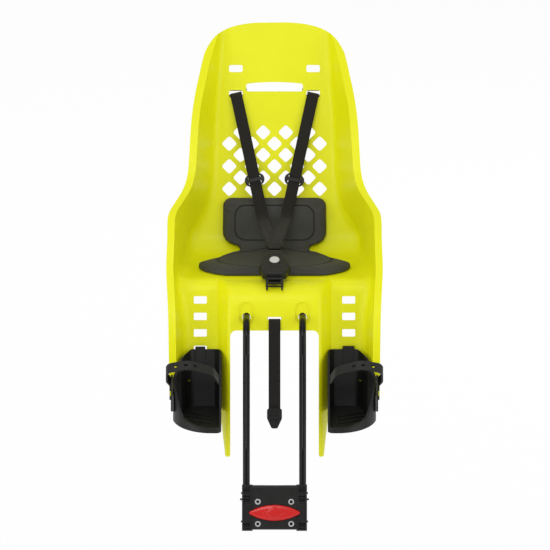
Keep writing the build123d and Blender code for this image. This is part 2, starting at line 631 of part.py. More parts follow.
def leaf_outline(grow):
    half = RELEASE_HALF + grow
    rise = RELEASE_HEIGHT / 2 + grow
    upper = ThreePointArc((-half, 0), (0, rise), (half, 0))
    lower = ThreePointArc((-half, 0), (0, -rise), (half, 0))
    face = make_face([upper, lower])
    return Pos(0, SCREW_MID_Z) * fillet(face.vertices(), 3)


def y_cylinder(x, z, radius, y0, y1):
    return wall_cut(Pos(x, z) * Circle(radius), y0, y1)


def mount_block():
    middle = (BLOCK_FRONT - PART_GAP) / 2
    body = Pos(0, middle, 0.5) * Box(2 * TOWER_FROM + 2, BLOCK_DEPTH, 2 * BLOCK_TOP - 3)
    body = fillet(body.edges().filter_by(Axis.X).group_by(Axis.Y)[0], 4)
    for side in (-1, 1):
        tower = Pos(side * (BLOCK_HALF - 9), middle, 0) * Box(18, BLOCK_DEPTH, 2 * BLOCK_TOP)
        tower = fillet(tower.edges().filter_by(Axis.Z), 3)
        body = body + tower
    tools = [Cylinder(LINER_RADIUS, 300)]
    tools.append(wall_cut(leaf_outline(0.6), BLOCK_FRONT - 10, POCKET_FLOOR))
    tools.append(Pos(0, LATCH_FRONT + 0.5, SCREW_MID_Z) * Box(44, 5.6, 6.6))
    for side in (-1, 1):
        bore_low = 5 - BLOCK_TOP
        tools.append(Pos(side * ROD_X, ROD_BLOCK_Y, bore_low + 60) * Cylinder(ROD_DIAMETER / 2 + 0.2, 120))
        for row in range(5):
            z = BLOCK_TOP - 9 - row * (2 * BLOCK_TOP - 18) / 4
            if abs(z - SCREW_MID_Z) > 9:
                cell = Pos(side * (BLOCK_HALF - 8.5), z) * RectangleRounded(11, 11, 1.5)
                tools.append(wall_cut(cell, BLOCK_FRONT - 5, BLOCK_FRONT + 5))
        channel = (LATCH_REAR - LATCH_FRONT) + 0.6
        tools.append(Pos(side * 31.5, ROD_BLOCK_Y, SCREW_MID_Z) * Box(29, channel, 10.6))
        window = Box(9.8, -8 - POCKET_FLOOR + 2, 6.6)
        tools.append(Pos(side * 28.6, (POCKET_FLOOR - 8) / 2, SCREW_MID_Z) * window)
    for x, z in screw_spots():
        tools.append(y_cylinder(x, z, 3.2, BLOCK_FRONT - 5, 5))
        tools.append(y_cylinder(x, z, 5.4, BLOCK_FRONT - 5, BLOCK_FRONT + 6.2))
    return body - tools


def clamp_jaw():
    jaw = Box(2 * TOWER_FROM, JAW_REAR - PART_GAP, 2 * BLOCK_TOP - 16)
    jaw = Pos(0, (PART_GAP + JAW_REAR) / 2, -4) * jaw
    jaw = fillet(jaw.edges().filter_by(Axis.Z).group_by(Axis.Y)[-1], 8)
    tools = [Cylinder(LINER_RADIUS, 300)]
    for x, z in screw_spots():
        tools.append(y_cylinder(x, z, 3.2, -5, JAW_REAR + 5))
        tools.append(wall_cut(Pos(x, z) * RegularPolygon(5.9, 6), JAW_REAR - 7, JAW_REAR + 5))
    return jaw - tools


def tube_liner(side):
    ring = Cylinder(LINER_RADIUS, 2 * BLOCK_TOP - 18) - Cylinder(TUBE_RADIUS, 200)
    return Pos(0, 0, -4) * (ring & Pos(0, side * (PART_GAP + 1 + 50), 0) * Box(100, 100, 200))


def clamp_screws():
    screws = []
    for x, z in screw_spots():
        shank = y_cylinder(x, z, 3, BLOCK_FRONT + 3, JAW_REAR - 1)
        screw = shank + y_cylinder(x, z, 5, BLOCK_FRONT + 0.2, BLOCK_FRONT + 6.2)
        socket = wall_cut(Pos(x, z) * RegularPolygon(2.9, 6), BLOCK_FRONT - 5, BLOCK_FRONT + 3.5)
        screws.append(screw - socket)
    return Compound(screws)


def clamp_nuts():
    nuts = []
    for x, z in screw_spots():
        nut = wall_cut(Pos(x, z) * RegularPolygon(5.7, 6), JAW_REAR - 6.9, JAW_REAR - 1.9)
        nuts.append(nut - y_cylinder(x, z, 3.05, 0, 60))
    return Compound(nuts)


BUTTON_REAR = POCKET_FLOOR - RELEASE_TRAVEL - 1.0
WEDGE_TIP = LATCH_REAR - 1
WEDGE_X = 29.5


def facet(y, scale):
    wide = 0.42 * RELEASE_HALF * scale
    tall = 0.4 * RELEASE_HEIGHT * scale
    points = [(wide, SCREW_MID_Z), (0, SCREW_MID_Z + tall), (-wide, SCREW_MID_Z), (0, SCREW_MID_Z - tall)]
    return Plane.XZ.offset(-y) * make_face(Polyline(*points, close=True))


def release_button():
    cap = wall_cut(leaf_outline(0), BLOCK_FRONT - 3, BUTTON_REAR)
    cap = fillet(cap.faces().sort_by(Axis.Y)[0].edges(), 2)
    cap = cap + loft([facet(BLOCK_FRONT - 3, 1), facet(BLOCK_FRONT - 4.5, 0.75)])
    for side in (-1, 1):
        thick = WEDGE_X - LATCH_RATIO * (WEDGE_TIP - LATCH_FRONT)
        points = [(33, BUTTON_REAR - 1), (33, WEDGE_TIP), (WEDGE_X, WEDGE_TIP)]
        points += [(thick, LATCH_FRONT), (thick, BUTTON_REAR - 1)]
        points = [(side * x, y) for x, y in points]
        leg = extrude(make_face(Polyline(*points, close=True)), amount=3, both=True)
        cap = cap + Pos(0, 0, SCREW_MID_Z) * leg
    return cap


def latch():
    # the button's wedge slides along the slanted side of the window and draws the nose out of the rod
    low = 20.5
    nose = ROD_X - ROD_DIAMETER / 2 + 2.6
    points = [(low, LATCH_FRONT), (nose - 2, LATCH_FRONT), (nose, LATCH_FRONT + 3)]
    points += [(nose, LATCH_REAR), (low, LATCH_REAR)]
    body = extrude(make_face(Polyline(*points, close=True)), amount=5, both=True)
    front = WEDGE_X - 0.3 + LATCH_RATIO * (LATCH_FRONT - 1 - WEDGE_TIP)
    rear = WEDGE_X - 0.3 + LATCH_RATIO * (LATCH_REAR + 1 - WEDGE_TIP)
    window = [(front, LATCH_FRONT - 1), (36.5, LATCH_FRONT - 1)]
    window += [(36.5, LATCH_REAR + 1), (rear, LATCH_REAR + 1)]
    body = body - extrude(make_face(Polyline(*window, close=True)), amount=3.3, both=True)
    return Pos(0, 0, SCREW_MID_Z) * body


def button_spring():
    rise = POCKET_FLOOR - BUTTON_REAR - 0.2
    return Pos(0, POCKET_FLOOR - 0.1, SCREW_MID_Z) * Rot(90, 0, 0) * leaf_spring(15, rise, 6, 0.6)


def latch_spring():
    return Pos(0, LATCH_FRONT - 1.9, SCREW_MID_Z) * Rot(-90, 0, 0) * leaf_spring(20.2, 4.4, 5, 0.6)


SAFETY_Z = PAN_HEIGHT - ROD_DROP - 2


def safety_slot(margin):
    # the strap lies on the slot's lower edge
    height = WEB_THICK + 3
    return Pos(0, SAFETY_Z - WEB_THICK + height / 2) * RectangleRounded(WEB_WIDTH + margin, height, 1)


def safety_strap():
    points = [(PANEL_Y + 13, SAFETY_Z), (PANEL_Y - 3, SAFETY_Z), (PANEL_Y - 3, SAFETY_Z - 156)]
    return strip(points, 3, WEB_THICK, WEB_WIDTH, Plane.YZ)


def safety_strap_anchor():
    plate = Pos(0, SAFETY_Z + 2) * RectangleRounded(44, 18, 4) - safety_slot(3)
    return wall_cut(plate, PANEL_Y + WALL, PANEL_Y + WALL + 4)


def safety_strap_buckle():
    high = SAFETY_Z - 152
    right = [(12.7, high), (12.7, high - 17), (5, high - 34)]
    left = [(-x, z) for x, z in reversed(right)]
    shield = fillet(make_face(Polyline(*right, *left, close=True)).vertices(), 4)
    body = wall_cut(shield, PANEL_Y - 7, PANEL_Y - 0.5)
    mouth = Pos(0, PANEL_Y - 3 + WEB_THICK / 2, high) * Box(WEB_WIDTH + 0.6, WEB_THICK + 0.6, 16)
    tools = [mouth]
    for drop in (6, 13, 20):
        tools.append(wall_cut(Pos(0, high - drop) * RectangleRounded(15, 4, 1), PANEL_Y - 9, PANEL_Y - 5.4))
    return body - tools


def pieces():
    shapes = {"seat_shell": seat_shell(), "seat_pad": seat_pad()}
    paired = {
        "strap_adjuster": strap_adjuster(),
        "strap_anchor": strap_anchor(),
        "footrest": footrest(),
        "footrest_clip": footrest_clip(),
        "foot_strap": foot_strap(),
        "latch": latch(),
    }
    for name, shape in paired.items():
        shapes["left_" + name] = shape
        shapes["right_" + name] = mirror(shape, Plane.YZ)
    shapes["left_shoulder_strap"] = shoulder_strap(1)
    shapes["right_shoulder_strap"] = mirror(shoulder_strap(-1), Plane.YZ)
    shapes["buckle_body"] = buckle_body()
    shapes["buckle_cover"] = buckle_cover()
    shapes["buckle_button"] = buckle_button()
    shapes["buckle_spring"] = buckle_spring()
    shapes["harness_tongue"] = harness_tongue()
    shapes["crotch_strap"] = crotch_strap()
    shapes["crotch_adjuster"] = crotch_adjuster()
    shapes["crotch_anchor"] = crotch_anchor()
    shapes["support_rod"] = support_rod()
    shapes["rod_saddle"] = rod_saddle()
    shapes["rod_clamp_plate"] = rod_clamp_plate()
    shapes["saddle_screws"] = saddle_screws()
    shapes["mount_block"] = mount_block()
    shapes["clamp_jaw"] = clamp_jaw()
    shapes["front_tube_liner"] = tube_liner(-1)
    shapes["rear_tube_liner"] = tube_liner(1)
    shapes["clamp_screws"] = clamp_screws()
    shapes["clamp_nuts"] = clamp_nuts()
    shapes["release_button"] = release_button()
    shapes["button_spring"] = button_spring()
    shapes["latch_spring"] = latch_spring()
    shapes["safety_strap"] = safety_strap()
    shapes["safety_strap_anchor"] = safety_strap_anchor()
    shapes["safety_strap_buckle"] = safety_strap_buckle()
    return shapes


if __name__ == "__main__":
    os.makedirs("parts", exist_ok=True)
    for name, shape in pieces().items():
        export_step(Rot(-LEAN, 0, 0) * shape, f"parts/{name}.step")
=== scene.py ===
import bpy
import json
import math
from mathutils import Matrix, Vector
from mathutils.kdtree import KDTree


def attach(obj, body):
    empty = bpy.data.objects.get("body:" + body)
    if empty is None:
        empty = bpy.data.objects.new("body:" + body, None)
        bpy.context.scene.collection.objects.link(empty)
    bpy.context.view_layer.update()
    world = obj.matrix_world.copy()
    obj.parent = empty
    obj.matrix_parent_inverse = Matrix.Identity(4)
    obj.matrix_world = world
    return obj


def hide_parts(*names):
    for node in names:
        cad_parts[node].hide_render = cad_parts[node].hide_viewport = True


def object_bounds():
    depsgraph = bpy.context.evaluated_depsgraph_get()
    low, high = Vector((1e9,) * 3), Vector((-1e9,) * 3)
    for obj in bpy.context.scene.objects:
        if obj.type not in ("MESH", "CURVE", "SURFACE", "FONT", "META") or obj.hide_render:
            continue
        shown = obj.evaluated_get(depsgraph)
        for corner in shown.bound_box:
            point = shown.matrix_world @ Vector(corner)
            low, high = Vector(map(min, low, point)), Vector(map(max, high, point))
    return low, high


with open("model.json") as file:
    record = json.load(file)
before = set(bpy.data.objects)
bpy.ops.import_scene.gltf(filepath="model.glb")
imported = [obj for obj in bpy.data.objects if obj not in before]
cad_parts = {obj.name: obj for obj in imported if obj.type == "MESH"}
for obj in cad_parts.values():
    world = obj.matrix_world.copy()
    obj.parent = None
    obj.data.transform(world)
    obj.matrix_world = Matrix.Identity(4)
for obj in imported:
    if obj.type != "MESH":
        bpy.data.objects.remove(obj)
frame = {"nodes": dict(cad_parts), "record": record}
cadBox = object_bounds()
nodes = frame["nodes"]
bpy.context.scene.view_settings.view_transform = "Standard"
print("frame:", len(nodes), "nodes")

# The seat is drawn square to the seat tube: x across, depth to the rear, up along the tube, in millimetres.
tubeLean = math.radians(18)


def seatPoint(x, depth, up):
    y = depth * math.cos(tubeLean) + up * math.sin(tubeLean)
    z = up * math.cos(tubeLean) - depth * math.sin(tubeLean)
    return Vector((x, y, z)) / 1000


def seatCoords(point):
    depth = point.y * math.cos(tubeLean) - point.z * math.sin(tubeLean)
    up = point.y * math.sin(tubeLean) + point.z * math.cos(tubeLean)
    return point.x * 1000, depth * 1000, up * 1000


def pickOnly(piece):
    if bpy.context.object and bpy.context.object.mode != "OBJECT":
        bpy.ops.object.mode_set(mode="OBJECT")
    bpy.ops.object.select_all(action="DESELECT")
    bpy.context.view_layer.objects.active = piece
    piece.select_set(True)


def applyModifier(piece, kind, **settings):
    pickOnly(piece)
    modifier = piece.modifiers.new(kind.title(), kind)
    for key, value in settings.items():
        setattr(modifier, key, value)
    bpy.ops.object.modifier_apply(modifier=modifier.name)


def mergeFlats(piece, angle):  # neighbouring faces that turn by less than the angle become one
    pickOnly(piece)
    bpy.ops.object.mode_set(mode="EDIT")
    bpy.ops.mesh.select_all(action="SELECT")
    bpy.ops.mesh.dissolve_limited(angle_limit=math.radians(angle))
    bpy.ops.object.mode_set(mode="OBJECT")


def roundEdges(piece, width, angle):  # width in millimetres, on edges sharper than the angle
    applyModifier(piece, "BEVEL", width=width / 1000, segments=2, limit_method="ANGLE",
                  angle_limit=math.radians(angle), use_clamp_overlap=True)


def smoothFaces(piece, angle):
    pickOnly(piece)
    bpy.ops.object.shade_smooth_by_angle(angle=math.radians(angle))


# Shader groups for the grain of mouldings and the weave of belts
noiseBand = (0.3, 0.7)  # where most values of a noise texture lie


def newGroup(name, inputs, outputs):
    group = bpy.data.node_groups.new(name, "ShaderNodeTree")
    for label, kind, value in inputs:
        socket = group.interface.new_socket(label, in_out="INPUT", socket_type="NodeSocket" + kind)
        socket.default_value = value
    for label, kind in outputs:
        group.interface.new_socket(label, in_out="OUTPUT", socket_type="NodeSocket" + kind)
    return group, group.nodes.new("NodeGroupInput"), group.nodes.new("NodeGroupOutput")


def addNode(tree, kind, **settings):
    node = tree.nodes.new("ShaderNode" + kind)
    for key, value in settings.items():
        if key in node.inputs:
            node.inputs[key].default_value = value
        else:
            setattr(node, key, value)
    return node


def feed(tree, socket, given):  # another node's output, or a plain value
    if hasattr(given, "is_linked"):
        tree.links.new(given, socket)
    else:
        socket.default_value = given


def mathNode(tree, operation, first, second=None):
    node = addNode(tree, "Math", operation=operation)
    feed(tree, node.inputs[0], first)
    if second is not None:
        feed(tree, node.inputs[1], second)
    return node.outputs[0]


def rangeNode(tree, value, low, high, toLow, toHigh):
    node = addNode(tree, "MapRange")
    labels = ("Value", "From Min", "From Max", "To Min", "To Max")
    for label, given in zip(labels, (value, low, high, toLow, toHigh)):
        feed(tree, node.inputs[label], given)
    return node.outputs["Result"]


def mixColours(tree, factor, first, second):
    node = addNode(tree, "Mix", data_type="RGBA")
    feed(tree, node.inputs["Factor"], factor)
    colourA, colourB = [socket for socket in node.inputs if socket.type == "RGBA"]
    feed(tree, colourA, first)
    feed(tree, colourB, second)
    return next(socket for socket in node.outputs if socket.type == "RGBA")


def makeMouldGrain():  # fine spark-eroded texture with slow drifts of colour and gloss
    group, given, out = newGroup(
        "mouldGrain",
        [("Colour", "Color", (1, 1, 1, 1)), ("Tint", "Color", (1, 1, 1, 1)), ("Grain", "Float", 900.0),
         ("Rough Low", "Float", 0.3), ("Rough High", "Float", 0.45)],
        [("Colour", "Color"), ("Roughness", "Float"), ("Height", "Float")],
    )
    place = addNode(group, "TexCoord").outputs["Object"]
    drift = addNode(group, "TexNoise", Scale=11.0, Detail=3.0)
    scuff = addNode(group, "TexNoise", Scale=46.0, Detail=5.0, Roughness=0.65)
    grain = addNode(group, "TexNoise", Detail=2.0)
    for node in (drift, scuff, grain):
        group.links.new(place, node.inputs["Vector"])
    group.links.new(given.outputs["Grain"], grain.inputs["Scale"])
    driftMask = rangeNode(group, drift.outputs["Fac"], 0.35, 0.68, 0.0, 1.0)
    colour = mixColours(group, driftMask, given.outputs["Colour"], given.outputs["Tint"])
    smoothest, roughest = given.outputs["Rough Low"], given.outputs["Rough High"]
    rough = rangeNode(group, scuff.outputs["Fac"], 0.35, 0.65, smoothest, roughest)
    group.links.new(colour, out.inputs["Colour"])
    group.links.new(rough, out.inputs["Roughness"])
    group.links.new(grain.outputs["Fac"], out.inputs["Height"])
    return group


def makeBeltWeave():  # u runs 0 to 1 across the belt, v along it in metres
    group, given, out = newGroup(
        "beltWeave",
        [("Thread", "Color", (0.03, 0.03, 0.03, 1)), ("Shadow", "Color", (0.01, 0.01, 0.01, 1)),
         ("Rib Pitch", "Float", 0.0017), ("Columns", "Float", 5.0)],
        [("Colour", "Color"), ("Roughness", "Float"), ("Height", "Float")],
    )
    split = addNode(group, "SeparateXYZ")
    group.links.new(addNode(group, "TexCoord").outputs["UV"], split.inputs[0])
    across, length = split.outputs["X"], split.outputs["Y"]
    pitch = given.outputs["Rib Pitch"]
    column = mathNode(group, "PINGPONG", mathNode(group, "MULTIPLY", across, given.outputs["Columns"]), 0.5)
    slant = mathNode(group, "MULTIPLY", mathNode(group, "MULTIPLY", column, pitch), 2.4)
    along = mathNode(group, "DIVIDE", mathNode(group, "ADD", length, slant), pitch)
    rib = mathNode(group, "PINGPONG", along, 0.5)
    edge = mathNode(group, "ABSOLUTE", mathNode(group, "SUBTRACT", across, 0.5))
    selvage = rangeNode(group, edge, 0.40, 0.46, 1.0, 0.45)
    height = mathNode(group, "MULTIPLY", mathNode(group, "MULTIPLY", rib, 2.0), selvage)
    fibre = addNode(group, "TexNoise", Scale=900.0, Detail=2.0)
    group.links.new(addNode(group, "TexCoord").outputs["Object"], fibre.inputs["Vector"])
    shade = mathNode(group, "MULTIPLY", height, rangeNode(group, fibre.outputs["Fac"], *noiseBand, 0.6, 1.0))
    colour = mixColours(group, shade, given.outputs["Shadow"], given.outputs["Thread"])
    group.links.new(colour, out.inputs["Colour"])
    group.links.new(rangeNode(group, fibre.outputs["Fac"], *noiseBand, 0.62, 0.8), out.inputs["Roughness"])
    group.links.new(height, out.inputs["Height"])
    return group


mouldGrain = makeMouldGrain()
beltWeave = makeBeltWeave()

# One entry for each finish: colours are linear, grain is dots in a metre, bump is in metres
finishes = {
    "shell": {"colour": (0.80, 0.80, 0.005), "tint": (0.765, 0.77, 0.003), "grain": 1500.0,
              "rough": (0.34, 0.42), "bump": 0.00005, "specular": 0.25},
    "black_plastic": {"colour": (0.0075, 0.0075, 0.007), "tint": (0.011, 0.011, 0.0105), "grain": 1700.0,
                      "rough": (0.36, 0.5), "bump": 0.0001, "specular": 0.28},
    "light_button": {"colour": (0.56, 0.565, 0.53), "tint": (0.50, 0.505, 0.48), "grain": 1500.0,
                     "rough": (0.32, 0.42), "bump": 0.00005, "specular": 0.4},
    "rubber": {"colour": (0.011, 0.011, 0.010), "tint": (0.017, 0.017, 0.016), "grain": 1200.0,
               "rough": (0.5, 0.64), "bump": 0.00012, "specular": 0.35},
    "red": {"colour": (0.60, 0.013, 0.010), "tint": (0.55, 0.010, 0.008), "grain": 700.0,
            "rough": (0.2, 0.26), "bump": 0.00002, "specular": 0.4},
    "black_steel": {"colour": (0.004, 0.004, 0.004), "tint": (0.006, 0.006, 0.006), "grain": 260.0,
                    "rough": (0.2, 0.28), "bump": 0.00002, "specular": 0.18},
    "spring_steel": {"colour": (0.10, 0.10, 0.105), "tint": (0.06, 0.06, 0.065), "grain": 900.0,
                     "rough": (0.28, 0.4), "bump": 0.00003, "metal": 1.0},
}


def newFinish(name):
    material = bpy.data.materials.new(name)
    material.use_nodes = True
    return material, material.node_tree, material.node_tree.nodes["Principled BSDF"]


def addBump(tree, shader, height, distance):
    bump = addNode(tree, "Bump", Distance=distance, Strength=1.0)
    tree.links.new(height, bump.inputs["Height"])
    tree.links.new(bump.outputs["Normal"], shader.inputs["Normal"])


def mouldedFinish(name, look):
    material, tree, shader = newFinish(name)
    grain = tree.nodes.new("ShaderNodeGroup")
    grain.node_tree = mouldGrain
    grain.inputs["Colour"].default_value = (*look["colour"], 1)
    grain.inputs["Tint"].default_value = (*look["tint"], 1)
    grain.inputs["Grain"].default_value = look["grain"]
    grain.inputs["Rough Low"].default_value, grain.inputs["Rough High"].default_value = look["rough"]
    tree.links.new(grain.outputs["Colour"], shader.inputs["Base Color"])
    tree.links.new(grain.outputs["Roughness"], shader.inputs["Roughness"])
    addBump(tree, shader, grain.outputs["Height"], look["bump"])
    shader.inputs["Metallic"].default_value = look.get("metal", 0.0)
    shader.inputs["Specular IOR Level"].default_value = look.get("specular", 0.5)
    return material


def webbingFinish(look):
    material, tree, shader = newFinish("webbing")
    weave = tree.nodes.new("ShaderNodeGroup")
    weave.node_tree = beltWeave
    weave.inputs["Thread"].default_value = (*look["thread"], 1)
    weave.inputs["Shadow"].default_value = (*look["shadow"], 1)
    weave.inputs["Rib Pitch"].default_value = look["pitch"]
    weave.inputs["Columns"].default_value = look["columns"]
    tree.links.new(weave.outputs["Colour"], shader.inputs["Base Color"])
    tree.links.new(weave.outputs["Roughness"], shader.inputs["Roughness"])
    addBump(tree, shader, weave.outputs["Height"], look["bump"])
    shader.inputs["Sheen Weight"].default_value = look["sheen"]
    shader.inputs["Specular IOR Level"].default_value = look["specular"]
    return material


def padFinish(look):  # pebbled skin over foam
    material, tree, shader = newFinish("pad")
    place = addNode(tree, "TexCoord").outputs["Object"]
    pebble = addNode(tree, "TexVoronoi", Scale=look["pebbles"], feature="SMOOTH_F1")
    worn = addNode(tree, "TexNoise", Scale=look["worn"], Detail=4.0)
    for node in (pebble, worn):
        tree.links.new(place, node.inputs["Vector"])
    mask = rangeNode(tree, worn.outputs["Fac"], *noiseBand, 0.0, 1.0)
    colour = mixColours(tree, mask, (*look["colour"], 1), (*look["tint"], 1))
    groove = addNode(tree, "Attribute", attribute_name="groove").outputs["Fac"]
    # the pressed lines take a darker colour: painted shade in the grooves
    colour = mixColours(tree, groove, colour, (*look["groove"], 1))
    tree.links.new(colour, shader.inputs["Base Color"])
    rough = rangeNode(tree, worn.outputs["Fac"], *noiseBand, *look["rough"])
    tree.links.new(rough, shader.inputs["Roughness"])
    addBump(tree, shader, pebble.outputs["Distance"], look["bump"])
    shader.inputs["Sheen Weight"].default_value = look["sheen"]
    shader.inputs["Specular IOR Level"].default_value = look["specular"]
    return material


def screwFinish(look):  # bright heads, with painted shade darkening the socket
    material = mouldedFinish("screw_steel", look)
    tree = material.node_tree
    shader = tree.nodes["Principled BSDF"]
    bright = shader.inputs["Base Color"].links[0].from_socket
    depth = addNode(tree, "VectorMath", operation="DOT_PRODUCT")
    tree.links.new(addNode(tree, "TexCoord").outputs["Object"], depth.inputs[0])
    depth.inputs[1].default_value = (0, math.cos(tubeLean), -math.sin(tubeLean))
    top, floor = look["socket"]
    inside = rangeNode(tree, depth.outputs["Value"], top, top + look["fade"], 0.0, 1.0)
    before = rangeNode(tree, depth.outputs["Value"], floor, floor + look["fade"], 1.0, 0.0)
    # the socket floor is darkened with painted shade
    mask = mathNode(tree, "MULTIPLY", inside, before)
    tree.links.new(mixColours(tree, mask, bright, (*look["dark"], 1)), shader.inputs["Base Color"])
    return material


def dottedFinish(look):  # small raised dots in the plastic, with a painted highlight that makes each dot lighter
    material = mouldedFinish("dotted_plastic", look)
    tree = material.node_tree
    shader = tree.nodes["Principled BSDF"]
    dots = addNode(tree, "TexVoronoi", Scale=look["dots"], Randomness=look["scatter"])
    tree.links.new(addNode(tree, "TexCoord").outputs["Object"], dots.inputs["Vector"])
    height = rangeNode(tree, dots.outputs["Distance"], 0.25, 0.45, 1.0, 0.0)
    # the dots take the lighter tint: a painted highlight on their raised tops
    colour = mixColours(tree, height, (*look["colour"], 1), (*look["tint"], 1))
    tree.links.new(colour, shader.inputs["Base Color"])
    addBump(tree, shader, height, look["rise"])
    return material


materials = {name: mouldedFinish(name, look) for name, look in finishes.items()}
materials["screw_steel"] = screwFinish({
    "colour": (0.62, 0.62, 0.63), "tint": (0.50, 0.50, 0.51), "grain": 1100.0, "rough": (0.3, 0.42),
    "bump": 0.00003, "metal": 0.6, "socket": (-0.0372, -0.030), "fade": 0.0004, "dark": (0.02, 0.02, 0.022),
})
materials["dotted_plastic"] = dottedFinish({
    "colour": (0.005, 0.005, 0.005), "tint": (0.022, 0.022, 0.021), "grain": 1700.0, "rough": (0.34, 0.46),
    "bump": 0.0001, "specular": 0.35, "dots": 420.0, "scatter": 0.15, "rise": 0.0006,
})
materials["webbing"] = webbingFinish({
    "thread": (0.024, 0.021, 0.018), "shadow": (0.005, 0.004, 0.0035), "pitch": 0.0017, "columns": 5.0,
    "bump": 0.0003, "sheen": 0.1, "specular": 0.2,
})
materials["pad"] = padFinish({
    "colour": (0.040, 0.040, 0.036), "tint": (0.049, 0.049, 0.044), "groove": (0.008, 0.008, 0.007),
    "pebbles": 700.0, "worn": 24.0, "rough": (0.6, 0.72), "bump": 0.00035, "sheen": 0.06, "specular": 0.25,
})
print("finishes:", len(materials))

# Every CAD node takes the finish of its own slot
slotNodes = {
    "shell": ["seat_shell"],
    "pad": ["seat_pad"],
    "webbing": ["left_shoulder_strap", "right_shoulder_strap", "crotch_strap", "safety_strap"],
    "light_button": ["buckle_button"],
    "rubber": ["left_foot_strap", "right_foot_strap", "front_tube_liner", "rear_tube_liner"],
    "red": ["release_button"],
    "black_steel": ["support_rod", "rod_clamp_plate"],
    "spring_steel": ["button_spring", "latch_spring", "buckle_spring"],
    "screw_steel": ["saddle_screws", "clamp_screws", "clamp_nuts"],
}
slotOf = {node: slot for slot, members in slotNodes.items() for node in members}
bodyOf = {node: body for body, members in frame["record"]["behaviour"]["bodies"].items() for node in members}
weldGap = 0.00002  # points of the CAD mesh nearer than this are one point, in metres


def dressNode(node, material):
    node.data.materials.clear()
    node.data.materials.append(material)


for name, node in nodes.items():
    dressNode(node, materials[slotOf.get(name, "black_plastic")])
print("nodes dressed")


def copyMesh(node, name):
    piece = nodes[node].copy()
    piece.data = nodes[node].data.copy()
    piece.name = name
    piece.parent = None
    for key in list(piece.keys()):
        del piece[key]
    bpy.context.scene.collection.objects.link(piece)
    pickOnly(piece)
    bpy.ops.object.mode_set(mode="EDIT")
    bpy.ops.mesh.select_all(action="SELECT")
    bpy.ops.mesh.remove_doubles(threshold=weldGap)
    bpy.ops.object.mode_set(mode="OBJECT")
    return piece


def settle(piece, body, slot, *standsFor):  # finish, body and the solids that the piece stands for
    dressNode(piece, materials[slot])
    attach(piece, body)
    if standsFor:
        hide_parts(*standsFor)


# Hard pieces get a small round along their sharp edges, in millimetres
edgeRound = {
    "left_footrest": 0.7, "right_footrest": 0.7, "left_foot_strap": 0.5, "right_foot_strap": 0.5,
    "buckle_body": 0.6, "buckle_cover": 0.5, "buckle_button": 0.4, "harness_tongue": 0.7,
    "crotch_adjuster": 0.6, "left_strap_adjuster": 0.5, "right_strap_adjuster": 0.5,
    "left_strap_anchor": 0.5, "right_strap_anchor": 0.5, "safety_strap_buckle": 0.6,
    "safety_strap_anchor": 0.5, "crotch_anchor": 0.5, "mount_block": 0.6, "clamp_jaw": 0.8,
    "rod_saddle": 1.0, "rod_clamp_plate": 0.8, "support_rod": 0.3, "clamp_screws": 0.4,
    "saddle_screws": 0.4, "clamp_nuts": 0.3, "left_footrest_clip": 0.4, "right_footrest_clip": 0.4,
}
edgeLook = {"merge": 0.5, "sharp": 38.0, "smooth": 34.0, "weight": 80}
ownFinish = {"buckle_cover": "dotted_plastic"}  # a finish that differs from the node's slot


def camelName(name):
    first, *rest = name.split("_")
    return first + "".join(word.title() for word in rest)


def softenNode(node, width, look):
    piece = copyMesh(node, camelName(node))
    mergeFlats(piece, look["merge"])
    roundEdges(piece, width, look["sharp"])
    smoothFaces(piece, look["smooth"])
    applyModifier(piece, "WEIGHTED_NORMAL", mode="FACE_AREA", weight=look["weight"], keep_sharp=True)
    settle(piece, bodyOf[node], slotOf.get(node, "black_plastic"), node)
    if node in ownFinish:
        dressNode(piece, materials[ownFinish[node]])


for node, width in edgeRound.items():
    softenNode(node, width, edgeLook)
print("edges rounded on", len(edgeRound), "pieces")

# Shell: the walls are cut into a fine grid, and the blends between them are relaxed into wide soft curves
shellLook = {
    "merge": 2.0, "edge": 0.8, "sharp": 38.0, "smooth": 34.0, "weight": 50, "grid": 10.0,
    "across": (-180, 180), "depth": (48, 250), "up": (92, 824),
    "firm": 3.0, "soft": 16.0, "passes": 50, "spacing": 4.0,
}


def alongAxis(axis, value):  # a point on one axis of the seat, in millimetres
    return seatPoint(*[value if other == axis else 0.0 for other in range(3)])


def cutGrid(piece, look):
    pickOnly(piece)
    bpy.ops.object.mode_set(mode="EDIT")
    for axis, (low, high) in enumerate((look["across"], look["depth"], look["up"])):
        for step in range(int((high - low) / look["grid"])):
            place = alongAxis(axis, low + (step + 0.5) * look["grid"])
            bpy.ops.mesh.select_all(action="SELECT")
            bpy.ops.mesh.bisect(plane_co=place, plane_no=alongAxis(axis, 1000.0))
    bpy.ops.object.mode_set(mode="OBJECT")


def relaxBlends(piece, look, corners):  # weight grows with the distance from the nearest hard edge
    tree = KDTree(len(corners))
    for index, place in enumerate(corners):
        tree.insert(place, index)
    tree.balance()
    group = piece.vertex_groups.new(name="blends")
    for vertex in piece.data.vertices:
        gap = tree.find(vertex.co)[2] * 1000
        share = min(1.0, max(0.0, (gap - look["firm"]) / (look["soft"] - look["firm"])))
        group.add([vertex.index], share, "REPLACE")
    applyModifier(piece, "SMOOTH", factor=0.5, iterations=look["passes"], vertex_group="blends")
    piece.vertex_groups.clear()


def hardEdges(piece, look):  # points along the hard edges, at the given spacing in millimetres
    pickOnly(piece)
    bpy.ops.object.mode_set(mode="EDIT")
    bpy.ops.mesh.select_all(action="DESELECT")
    bpy.ops.mesh.edges_select_sharp(sharpness=math.radians(look["sharp"]))
    bpy.ops.object.mode_set(mode="OBJECT")
    places = []
    for edge in piece.data.edges:
        if not edge.select:
            continue
        first, last = [piece.data.vertices[index].co.copy() for index in edge.vertices]
        steps = max(1, int((last - first).length / (look["spacing"] / 1000)))
        places += [first.lerp(last, step / steps) for step in range(steps + 1)]
    return places


